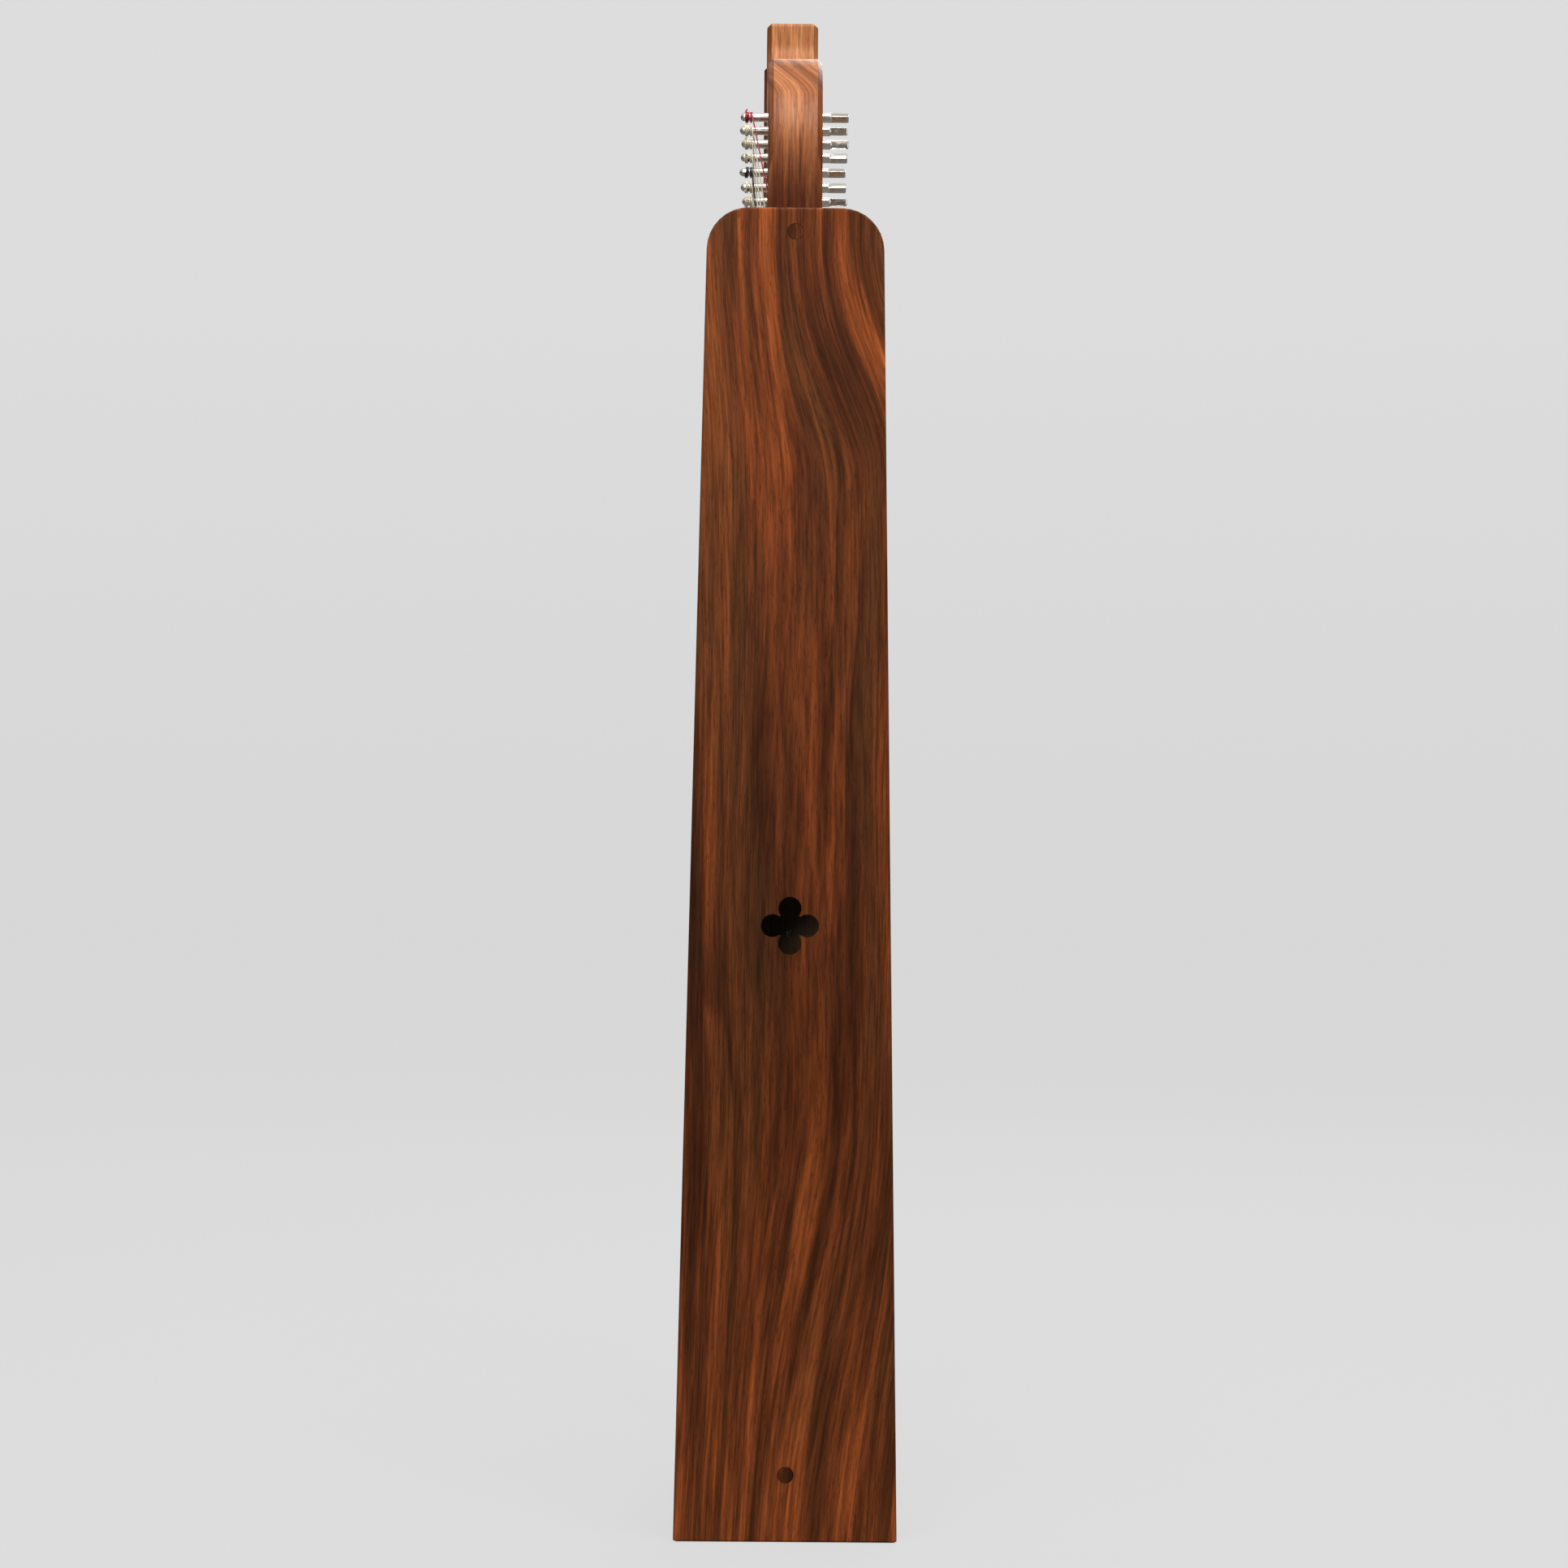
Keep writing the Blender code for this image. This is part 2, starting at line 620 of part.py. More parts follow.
def string_ends(index, place):
    """Where a string meets the rib, and where it leaves the back of its pin."""
    front, above = ANCHOR_FRONT, FIRST_ANCHOR - ANCHOR_SPACING * index
    anchor = Vector((0, *side_point(front, above)))
    pin = Vector((STRING_AT_PIN, *place))
    along = Vector((0, pin.y - anchor.y, pin.z - anchor.z)).normalized()
    away = Vector((0, -along.z, along.y))
    return anchor, pin + away * (WINDING_INNER + WINDING_OUTER) / 2


def make_strings():
    for index, place in enumerate(pin_places()):
        note = NOTES[index]
        share = index / (len(NOTES) - 1)
        thickness = THIN_STRING + (THICK_STRING - THIN_STRING) * share
        strand = curve_object(f"strand_{note}", string_ends(index, place), False)
        strand.data.dimensions = "3D"
        strand.data.bevel_depth = thickness / 2
        strand.data.bevel_resolution = 1
        strand.data.use_fill_caps = True
        shape = bmesh.new()
        shape.from_mesh(evaluated_mesh(strand))
        bmesh.ops.remove_doubles(shape, verts=shape.verts, dist=SMALL)
        strand = mesh_object(f"strand_{note}", shape)
        CUTTERS.objects.link(strand)
        ring = bpy.data.objects.new(f"ring_{note}", winding(*place))
        join = ring.modifiers.new("strand", "BOOLEAN")
        join.operation = "UNION"
        join.object = strand
        string = bpy.data.objects.new(f"string_{note}", evaluated_mesh(ring))
        bpy.data.objects.remove(strand, do_unlink=True)
        make_part(string, string_look(note))


clear_scene()
PARTS = new_collection("lap_harp")
CUTTERS = new_collection("cutters")
CUTTERS.hide_render = True
make_panels()
make_sides()
make_blocks()
make_fasteners()
make_ribs_and_braces()
make_neck()
make_pillar_and_base()
make_pins()
make_strings()
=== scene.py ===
"""The looks of a small lap harp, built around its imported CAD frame.

Metres, +Z up. -Y is the back of the harp, which the camera sees, and +X is the side of the pins'
square ends.
"""

import json
import math

import bmesh
import bpy
from mathutils import Matrix, Vector


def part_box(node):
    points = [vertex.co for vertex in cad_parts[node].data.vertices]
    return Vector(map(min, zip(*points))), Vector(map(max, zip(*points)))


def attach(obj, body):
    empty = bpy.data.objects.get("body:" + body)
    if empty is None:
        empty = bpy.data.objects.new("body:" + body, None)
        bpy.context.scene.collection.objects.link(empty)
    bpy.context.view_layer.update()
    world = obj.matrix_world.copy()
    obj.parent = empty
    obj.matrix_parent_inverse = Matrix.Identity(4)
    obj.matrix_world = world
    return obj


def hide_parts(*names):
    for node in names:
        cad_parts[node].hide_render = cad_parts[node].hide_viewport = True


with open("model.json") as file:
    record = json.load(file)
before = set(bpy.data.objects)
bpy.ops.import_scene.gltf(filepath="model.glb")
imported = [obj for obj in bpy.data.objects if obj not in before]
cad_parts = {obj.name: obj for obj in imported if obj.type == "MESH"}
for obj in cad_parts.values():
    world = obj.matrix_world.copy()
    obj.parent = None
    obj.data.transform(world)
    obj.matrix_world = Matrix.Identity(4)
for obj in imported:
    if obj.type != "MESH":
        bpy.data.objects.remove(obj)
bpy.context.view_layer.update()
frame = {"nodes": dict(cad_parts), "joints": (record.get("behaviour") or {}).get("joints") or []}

MM = 0.001
BODY = "frame"
COLLECTION = bpy.context.scene.collection

# Camera: its place, the way it looks, its roll and its lens
CAMERA_BACK = 2.116
CAMERA_LEFT = 17.3 * MM
CAMERA_HEIGHT = 430 * MM
CAMERA_YAW = -0.36
CAMERA_ROLL = -0.48
LENS = 85.7
SENSOR = 36

# Strings and pins: the CAD's sizes, but for a tip 0.1 mm slimmer and strings 0.25 mm nearer the neck
NOTES = [joint["name"].removeprefix("tune_") for joint in frame["joints"]]
PIN_PLACES = {joint["name"].removeprefix("tune_"): joint["pos_m"] for joint in frame["joints"]}
PIN_TURNS = [38, 4, 86, 52, 36, 48, 3]
PIN_HALF_LENGTH = 32.6 * MM
PIN_RADIUS = 2.95 * MM
PIN_MIDDLE_RADIUS = 2.6 * MM
PIN_TIP_RADIUS = 2.5 * MM
KEY_LENGTH = 9.6 * MM
KEY_WIDTH = 4.4 * MM
KEY_OVERLAP = 1 * MM
KEY_EDGE = 0.3 * MM
KEY_END_ROUNDING = 1 * MM
STRING_HOLE_PLACE = -28 * MM
STRING_HOLE_RADIUS = 0.75 * MM
STRING_AT_PIN = -25.75 * MM
STRAND_TURNS = 1.1
STRAND_STEPS = 40
WINDING_END = -29.9 * MM
WINDING_START_ANGLE = -0.3
WINDING_MOST_TURNS = 2.25
WINDING_STEPS = 64
KNOT_STEPS = 36
THIN_STRING = 0.9 * MM
THICK_STRING = 1.3 * MM
RIB_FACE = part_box("string_rib")[1].y
INNER_RIB_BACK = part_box("inner_string_rib")[0].y
STRING_TAIL = [(-4.2, -1.9), (-2.2, -1.6), (-1.0, -1.1), (-0.2, -0.3), (0.25, 0.9)]  # mm, from the anchor

# Grain. A sway is: heights where it is whole and gone, places left and right, and its push at each
UPPER_SWAY = ((0.60, 0.74), (-0.03, 0.05), (0.008, 0.034))
LOWER_SWAY = ((-0.04, 0.25), (-0.07, 0.07), (-0.008, -0.030))
BOX_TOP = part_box("back_panel")[1].z
NECK_TILT = 62.0
CREST_SWING = 20 * MM
CREST_SWING_HEIGHTS = (BOX_TOP + 76 * MM, BOX_TOP + 106 * MM)
CHEEK_FACING = (0.84, 0.92)
SHARP_ANGLE = 32

# Backdrop
FLOOR_RADIUS = 5.0
FLOOR_DROP = 0.4 * MM
CURVE_RADIUS = 1.6
CURVE_STEPS = 12
WALL_HEIGHT = 5.0


# ---------------------------------------------------------------- materials


def set_stops(ramp, stops):
    while len(ramp.elements) < len(stops):
        ramp.elements.new(1.0)
    for element, (position, colour) in zip(ramp.elements, stops):
        element.position = position
        element.color = (*colour, 1)


class Shader:
    """A new material with a Principled BSDF, and short ways to add nodes to it."""

    def __init__(self, name):
        self.material = bpy.data.materials.new(name)
        self.material.use_nodes = True
        self.tree = self.material.node_tree
        self.principled = self.tree.nodes["Principled BSDF"]

    def node(self, kind, inputs=None, **settings):
        """A node whose inputs are numbers, colours or other nodes' sockets, by name or number."""
        node = self.tree.nodes.new(kind)
        for key, value in settings.items():
            setattr(node, key, value)
        for key, value in (inputs or {}).items():
            self.feed(node.inputs[key], value)
        return node

    def feed(self, socket, value):
        if isinstance(value, bpy.types.NodeSocket):
            self.tree.links.new(value, socket)
        else:
            socket.default_value = value

    def math(self, operation, first, second=0.0, third=0.0):
        values = {0: first, 1: second, 2: third}
        return self.node("ShaderNodeMath", values, operation=operation).outputs[0]

    def place(self):
        """The point's own coordinates, which are the frame's metres on a CAD node."""
        return self.node("ShaderNodeTexCoord").outputs["Object"]

    def parts(self, point):
        return self.node("ShaderNodeSeparateXYZ", {0: point}).outputs

    def joined(self, x, y, z):
        return self.node("ShaderNodeCombineXYZ", {"X": x, "Y": y, "Z": z}).outputs[0]

    def grey(self, value):
        return self.node("ShaderNodeCombineColor", {0: value, 1: value, 2: value}).outputs[0]

    def noise(self, vector, scale, detail=2.0, roughness=0.5):
        values = {"Vector": vector, "Scale": scale, "Detail": detail, "Roughness": roughness}
        return self.node("ShaderNodeTexNoise", values).outputs["Fac"]

    def smooth(self, value, low, high, to_low=0.0, to_high=1.0):
        """value eased from to_low at low to to_high at high."""
        values = {"Value": value, 1: low, 2: high, 3: to_low, 4: to_high}
        kind = "SMOOTHSTEP"
        return self.node("ShaderNodeMapRange", values, interpolation_type=kind).outputs[0]

    def ramp(self, factor, stops):
        """A colour ramp of (position, (r, g, b)) stops."""
        node = self.node("ShaderNodeValToRGB", {"Fac": factor})
        set_stops(node.color_ramp, stops)
        return node.outputs["Color"]

    def mix(self, factor, first, second, blend="MIX"):
        node = self.node("ShaderNodeMix", data_type="RGBA", blend_type=blend)
        for index, value in ((0, factor), (6, first), (7, second)):
            if index != 0 and isinstance(value, tuple):
                value = (*value, 1)
            self.feed(node.inputs[index], value)
        return node.outputs[2]

    def stretched(self, point, factors):
        """point with its X, Y and Z multiplied."""
        return self.node(
            "ShaderNodeVectorMath", {0: point, 1: factors}, operation="MULTIPLY"
        ).outputs[0]

    def bump(self, height, distance, strength=1.0):
        values = {"Height": height, "Distance": distance, "Strength": strength}
        self.feed(self.principled.inputs["Normal"], self.node("ShaderNodeBump", values).outputs[0])

    def set(self, **inputs):
        """Sets the Principled BSDF's inputs. An underscore stands for a space."""
        for key, value in inputs.items():
            if isinstance(value, tuple) and len(value) == 3:
                value = (*value, 1)
            self.feed(self.principled.inputs[key.replace("_", " ")], value)


def grain_point(shader, tilt, offset):
    """Object coordinates turned so that the grain, tilted from upright by tilt degrees, is along Z."""
    mapping = {"Vector": shader.place(), "Location": offset, "Rotation": (math.radians(tilt), 0, 0)}
    return shader.node("ShaderNodeMapping", mapping).outputs[0]


def swayed(shader, point):
    """point with the long slow sway of the back panel's figure taken out of its X."""
    parts = shader.parts(point)
    across = parts["X"]
    for (low, high), (left, right), (left_push, right_push) in (UPPER_SWAY, LOWER_SWAY):
        bend = shader.smooth(parts["Z"], low, high, 1.0, 0.0)
        reach = shader.smooth(parts["X"], left, right, left_push, right_push)
        across = shader.math("SUBTRACT", across, shader.math("MULTIPLY", bend, reach))
    return shader.joined(across, parts["Y"], parts["Z"])


def wandering(shader, point, amount, scale=11.0):
    """point pushed a little sideways by slow noise, so that the grain isn't straight."""
    slow = shader.stretched(point, (1, 1, 0.22))
    values = {"Vector": slow, "Scale": scale, "Detail": 2.0}
    push = shader.node("ShaderNodeTexNoise", values).outputs["Color"]
    push = shader.node(
        "ShaderNodeVectorMath", {0: push, 1: (0.5, 0.5, 0.5)}, operation="SUBTRACT"
    ).outputs[0]
    push = shader.stretched(push, (amount, amount, 0.0))
    return shader.node("ShaderNodeVectorMath", {0: point, 1: push}, operation="ADD").outputs[0]


def lit(colour, light):
    return tuple(light * value for value in colour)


RED_STOPS = [
    (0.28, (0.044, 0.0130, 0.0038)),
    (0.42, (0.082, 0.0208, 0.0058)),
    (0.50, (0.128, 0.0310, 0.0080)),
    (0.58, (0.205, 0.0475, 0.0110)),
    (0.72, (0.330, 0.0810, 0.0195)),
]
PORE_COLOUR = (0.020, 0.0055, 0.0018)
# The neck's tan, partly painted light: paler and brighter than the red, standing in part for the top
# light and sheen on its up-turning rim.
TAN_STOPS = [
    (0.28, (0.190, 0.0600, 0.0210)),
    (0.42, (0.290, 0.1000, 0.0380)),
    (0.52, (0.380, 0.1400, 0.0560)),
    (0.62, (0.450, 0.1850, 0.0760)),
    (0.76, (0.580, 0.2700, 0.1200)),
]


def rosewood(
    name,
    point_of,
    light=1.0,
    bands=90.0,
    contrast=1.1,
    stops=RED_STOPS,
    olive_colour=(0.100, 0.0380, 0.0110),
    pores=0.42,
    rings=0.68,
    painted_light_of=None,
):
    """Oiled rosewood: long dark and orange streaks that wander, fine fibres and open pores."""
    shader = Shader(name)
    point = point_of(shader)
    broad = shader.noise(shader.stretched(point, (1, 1, 0.045)), bands, 1.0)
    narrow = shader.noise(shader.stretched(point, (1, 1, 0.024)), 2.7 * bands, 4.0, 0.55)
    streak = shader.math("MULTIPLY_ADD", broad, 0.5 * contrast, 0.5 - 0.5 * contrast)
    streak = shader.math("MULTIPLY_ADD", narrow, 0.5 * contrast, streak)
    colour = shader.ramp(streak, [(place, lit(tone, light)) for place, tone in stops])
    olive = shader.noise(shader.stretched(point, (1, 1, 0.09)), 34.0, 2.0)
    olive = shader.smooth(olive, 0.5, 0.66, 0.0, 0.45)
    colour = shader.mix(olive, colour, lit(olive_colour, light))

    field = shader.noise(shader.stretched(point, (1, 1, 0.07)), 0.28 * bands, 1.0)
    field = shader.math("MULTIPLY", field, 5.0)
    field = shader.math("MULTIPLY_ADD", shader.parts(point)["X"], 0.35 * bands, field)
    ring = shader.math("FRACT", field)
    ring = shader.math(
        "MAXIMUM", shader.smooth(ring, 0.0, 0.5, 1.0, 0.0), shader.smooth(ring, 0.90, 1.0)
    )
    fade = shader.noise(shader.stretched(point, (1, 1, 0.12)), 0.3 * bands, 2.0)
    ring = shader.math("MULTIPLY", ring, shader.smooth(fade, 0.38, 0.60, 0.0, rings))
    colour = shader.mix(ring, colour, lit(stops[0][1], light))

    fibre = shader.noise(shader.stretched(point, (1, 1, 0.035)), 800.0, 3.0, 0.65)
    depth = 0.9 * pores
    shade = shader.smooth(fibre, 0.3, 0.7, 1 - depth, 1 + depth)
    colour = shader.mix(1.0, colour, shader.grey(shade), "MULTIPLY")
    # Multiplies in the painted light and shade given for the piece, where there is one.
    if painted_light_of:
        colour = shader.mix(1.0, colour, painted_light_of(shader), "MULTIPLY")

    pore = shader.noise(shader.stretched(point, (1, 1, 0.085)), 1900.0, 1.5)
    pore = shader.smooth(pore, 0.58, 0.72)
    dark = lit(PORE_COLOUR, light)
    colour = shader.mix(shader.math("MULTIPLY", pore, pores), colour, dark)

    shader.feed(shader.principled.inputs["Base Color"], colour)
    rough = shader.math("MULTIPLY_ADD", fibre, 0.16, 0.30)
    rough = shader.math("MULTIPLY_ADD", pore, 0.15, rough)
    shader.feed(shader.principled.inputs["Roughness"], rough)
    shader.set(Specular_IOR_Level=0.08)
    height = shader.math("MULTIPLY_ADD", pore, -0.8, fibre)
    shader.bump(height, 0.00012, 0.6)
    return shader.material


def panel_point(shader):
    point = grain_point(shader, 0.0, (0.0, 0.0, 0.0))
    return wandering(shader, swayed(shader, point), 0.012)


def plank_point(tilt, offset):
    """A function that gives the texture point of a plank whose grain leans tilt degrees forward."""
    return lambda shader: wandering(shader, grain_point(shader, tilt, offset), 0.018)


def side_facing(shader):
    """1 where the surface faces left or right, 0 where it faces up, down, back or front."""
    facing = shader.node("ShaderNodeTexCoord").outputs["Normal"]
    return shader.math("ABSOLUTE", shader.parts(facing)["X"])


def neck_point(shader):
    """Grain along the neck, with fine lines on its cheeks and long streaks round its rim.

    The streaks swing sideways wherever the rim passes the heights near its crest.
    """
    point = grain_point(shader, NECK_TILT, (0.013, 0.1, 0.3))
    cheek = shader.smooth(side_facing(shader), *CHEEK_FACING, 0.07, 0.5)
    parts = shader.parts(point)
    swing = shader.smooth(height_of(shader), *CREST_SWING_HEIGHTS, 0.0, CREST_SWING)
    rim = shader.smooth(side_facing(shader), *CHEEK_FACING, 1.0, 0.0)
    across = shader.math("ADD", parts["X"], shader.math("MULTIPLY", swing, rim))
    point = shader.joined(across, shader.math("MULTIPLY", parts["Y"], cheek), parts["Z"])
    return wandering(shader, point, 0.007, 26.0)


def height_of(shader):
    return shader.parts(shader.place())["Z"]


def panel_painted_light(shader):
    """Painted light: the board is painted brighter towards its top, standing in for the top light's
    falloff, and towards its bottom, so that it is darkest round its middle.
    """
    height = height_of(shader)
    upper = shader.smooth(height, 0.30, 0.70, 0.75, 1.16)
    lower = shader.smooth(height, 0.03, 0.26, 1.75, 1.0)
    return shader.grey(shader.math("MULTIPLY", upper, lower))


def neck_painted_light(shader):
    """Painted light and shade: the neck is painted darker and redder where it stands on the soundbox and
    brighter up its rim and head, standing in for the top light on its up-turning rim; its side faces are
    painted darker, partly as painted shade and partly to match the rest of the harp's rosewood.
    """
    # Painted light: brighter with height above the soundbox, as the rim turns up towards the top light.
    rise = shader.smooth(height_of(shader), BOX_TOP + 4 * MM, BOX_TOP + 66 * MM)
    rise = shader.math("MULTIPLY", rise, 0.8)
    # Painted shade: the head is painted brighter than the zone just below it, which stays darker as if in
    # shadow.
    head = shader.smooth(height_of(shader), BOX_TOP + 135 * MM, BOX_TOP + 160 * MM, 0.0, 0.2)
    stops = [
        (0.0, (0.20, 0.13, 0.085)),
        (0.4, (0.44, 0.36, 0.30)),
        (0.8, (0.68, 0.65, 0.60)),
        (1.0, (0.92, 0.98, 0.94)),
    ]
    colour = shader.ramp(shader.math("ADD", rise, head), stops)
    # Partly painted shade and partly the wood's own darker tone: the side faces are darkened.
    sideways = shader.smooth(side_facing(shader), 0.40, 0.65)
    return shader.mix(sideways, colour, shader.mix(1.0, colour, (0.55, 0.46, 0.38), "MULTIPLY"))


def pale_wood(name, dark, bright, lines=420.0, rough=0.42, coat=0.15):
    """Straight-grained pale timber with fine year rings and short pores."""
    shader = Shader(name)
    point = grain_point(shader, 0.0, (0.0, 0.0, 0.0))
    slow = shader.stretched(point, (1, 1, 0.15))
    wander = shader.math("MULTIPLY", shader.noise(slow, 7.0, 2.0), 0.012)
    wander = shader.joined(wander, wander, 0.0)
    point = shader.node("ShaderNodeVectorMath", {0: point, 1: wander}, operation="ADD").outputs[0]
    ring = shader.noise(shader.stretched(point, (1, 1, 0.012)), lines, 2.0, 0.6)
    broad = shader.noise(shader.stretched(point, (1, 1, 0.06)), 45.0, 2.0)
    factor = shader.math("MULTIPLY_ADD", broad, 0.5, shader.math("MULTIPLY", ring, 0.5))
    colour = shader.ramp(factor, [(0.36, dark), (0.62, bright)])
    pore = shader.noise(shader.stretched(point, (1, 1, 0.05)), 1500.0, 1.0)
    pore = shader.smooth(pore, 0.62, 0.72)
    colour = shader.mix(shader.math("MULTIPLY", pore, 0.3), colour, lit(dark, 0.45))
    shader.feed(shader.principled.inputs["Base Color"], colour)
    rough = shader.math("MULTIPLY_ADD", ring, 0.12, rough - 0.06)
    shader.feed(shader.principled.inputs["Roughness"], rough)
    shader.set(Coat_Weight=coat, Coat_Roughness=0.3)
    shader.bump(shader.math("MULTIPLY_ADD", pore, -0.7, ring), 0.00008, 0.5)
    return shader.material


def metal(name, colour, rough, spread):
    """Plated or turned metal with faint rubbed scratches along X."""
    shader = Shader(name)
    place = shader.place()
    rubbed = shader.noise(shader.stretched(place, (0.15, 1, 1)), 900.0, 2.0)
    cloudy = shader.noise(place, 160.0, 3.0)
    dull = lit(colour, 0.86)
    tone = shader.smooth(cloudy, 0.4, 0.62)
    shader.feed(shader.principled.inputs["Base Color"], shader.mix(tone, dull, colour))
    both = shader.math("MULTIPLY", rubbed, cloudy)
    rough = shader.math("MULTIPLY_ADD", both, spread, rough)
    shader.feed(shader.principled.inputs["Roughness"], rough)
    shader.set(Metallic=1.0)
    shader.bump(rubbed, 0.00002, 0.3)
    return shader.material


def nylon(name, colour, dark, clear=0.0):
    """A drawn nylon string: smooth, with a slight change of tone along it."""
    shader = Shader(name)
    tone = shader.noise(shader.stretched(shader.place(), (1, 1, 0.4)), 260.0, 3.0)
    tone = shader.smooth(tone, 0.35, 0.65)
    shader.feed(shader.principled.inputs["Base Color"], shader.mix(tone, dark, colour))
    rough = shader.math("MULTIPLY_ADD", tone, 0.1, 0.25)
    shader.feed(shader.principled.inputs["Roughness"], rough)
    shader.set(IOR=1.53, Transmission_Weight=clear, Coat_Weight=0.2, Coat_Roughness=0.15)
    shader.bump(tone, 0.00002, 0.3)
    return shader.material


def backdrop_material():
    """Pale paper that glows a little, so that it is even and its shadows are faint."""
    shader = Shader("backdrop")
    rise = {"Value": height_of(shader), 1: 0.0, 2: CURVE_RADIUS, 3: 0.64, 4: 0.70}
    glow = shader.node("ShaderNodeMapRange", rise).outputs[0]
    shader.set(Base_Color=(0.045, 0.045, 0.045), Roughness=0.9, Specular_IOR_Level=0.1)
    shader.set(Emission_Color=(1, 1, 1), Emission_Strength=glow)
    return shader.material


# ---------------------------------------------------------------- pieces


def link(obj):
    COLLECTION.objects.link(obj)
    return obj


def wear(mesh, material):
    mesh.materials.clear()
    mesh.materials.append(material)


def soften(mesh, sharp_angle):
    """Shades the mesh smooth, but for edges sharper than sharp_angle degrees."""
    mesh.shade_smooth()
    mesh.set_sharp_from_angle(angle=math.radians(sharp_angle))


def mesh_object(name, shape):
    bmesh.ops.recalc_face_normals(shape, faces=shape.faces)
    mesh = bpy.data.meshes.new(name)
    shape.to_mesh(mesh)
    shape.free()
    return link(bpy.data.objects.new(name, mesh))


def evaluated(obj):
    """A copy of the object's mesh with its modifiers applied. The object is removed."""
    graph = bpy.context.evaluated_depsgraph_get()
    mesh = bpy.data.meshes.new_from_object(obj.evaluated_get(graph))
    bpy.data.objects.remove(obj, do_unlink=True)
    return mesh


def turned(name, profile, sides, merge_distance=1e-6):
    """A mesh turned about Z from (radius, height) points. One that starts off the axis is a ring."""
    shape = bmesh.new()
    verts = [shape.verts.new((radius, 0, height)) for radius, height in profile]
    pairs = list(zip(verts, verts[1:]))
    if profile[0][0] > 0:
        pairs.append((verts[-1], verts[0]))
    for pair in pairs:
        shape.edges.new(pair)
    obj = mesh_object(name, shape)
    screw = obj.modifiers.new("turn", "SCREW")
    screw.steps = sides
    screw.render_steps = sides
    screw.use_merge_vertices = True
    screw.merge_threshold = merge_distance
    return evaluated(obj)


def wire(name, points, radius, material):
    """A round wire through the points, as a mesh with closed ends."""
    curve = bpy.data.curves.new(name, "CURVE")
    curve.dimensions = "3D"
    curve.bevel_depth = radius
    curve.bevel_resolution = 3
    curve.use_fill_caps = True
    spline = curve.splines.new("POLY")
    spline.points.add(len(points) - 1)
    for spline_point, point in zip(spline.points, points):
        spline_point.co = (*point, 1)
    mesh = evaluated(link(bpy.data.objects.new(name, curve)))
    shape = bmesh.new()
    shape.from_mesh(mesh)
    bmesh.ops.remove_doubles(shape, verts=shape.verts, dist=1e-6)
    obj = mesh_object(name, shape)
    soften(obj.data, 40)
    wear(obj.data, material)
    return obj


def fine_pin_mesh():
    """A tapered pin along X with a domed tip, a string hole and a square key end with worn edges."""
    key_start = PIN_HALF_LENGTH - KEY_LENGTH
    profile = [
        (0, key_start),
        (0.99 * KEY_WIDTH / 2, key_start),
        (PIN_RADIUS - 0.1 * MM, key_start - 1.1 * MM),
        (PIN_RADIUS, key_start - 1.4 * MM),
        (PIN_RADIUS, -12 * MM),
        (PIN_MIDDLE_RADIUS, -19 * MM),
        (PIN_MIDDLE_RADIUS, -23.6 * MM),
        (PIN_TIP_RADIUS, -24.2 * MM),
        (PIN_TIP_RADIUS, -PIN_HALF_LENGTH + PIN_TIP_RADIUS),
    ]
    dome_steps = 8
    for step in range(1, dome_steps):
        angle = math.pi / 2 * step / dome_steps
        height = -PIN_HALF_LENGTH + PIN_TIP_RADIUS * (1 - math.sin(angle))
        profile.append((PIN_TIP_RADIUS * math.cos(angle), height))
    profile.append((0, -PIN_HALF_LENGTH))
    shaft = link(bpy.data.objects.new("pin_shaft", turned("pin_shaft", profile, 48)))

    shape = bmesh.new()
    length = KEY_LENGTH + KEY_OVERLAP
    size = Matrix.Diagonal((KEY_WIDTH, KEY_WIDTH, length, 1))
    middle = Matrix.Translation((0, 0, PIN_HALF_LENGTH - length / 2))
    bmesh.ops.create_cube(shape, size=1, matrix=middle @ size)
    long_edges = [e for e in shape.edges if abs(e.verts[0].co.z - e.verts[1].co.z) > length / 2]
    bmesh.ops.bevel(
        shape, geom=long_edges, offset=KEY_EDGE, segments=2, profile=0.5, affect="EDGES"
    )
    end = [e for e in shape.edges if all(v.co.z > PIN_HALF_LENGTH - 1e-6 for v in e.verts)]
    bmesh.ops.bevel(
        shape, geom=end, offset=KEY_END_ROUNDING, segments=4, profile=0.6, affect="EDGES"
    )
    key = mesh_object("pin_key", shape)
    join = shaft.modifiers.new("key", "BOOLEAN")
    join.operation = "UNION"
    join.object = key

    hole = bmesh.new()
    bmesh.ops.create_cone(
        hole,
        cap_ends=True,
        segments=20,
        radius1=STRING_HOLE_RADIUS,
        radius2=STRING_HOLE_RADIUS,
        depth=8 * MM,
        matrix=Matrix.Translation((0, 0, STRING_HOLE_PLACE)) @ Matrix.Rotation(math.pi / 2, 4, "X"),
    )
    drill = mesh_object("pin_string_hole", hole)
    cut = shaft.modifiers.new("string_hole", "BOOLEAN")
    cut.object = drill
    mesh = evaluated(shaft)
    bpy.data.objects.remove(key, do_unlink=True)
    bpy.data.objects.remove(drill, do_unlink=True)
    mesh.transform(Matrix.Rotation(math.pi / 2, 4, "Y"))
    soften(mesh, 28)
    return mesh


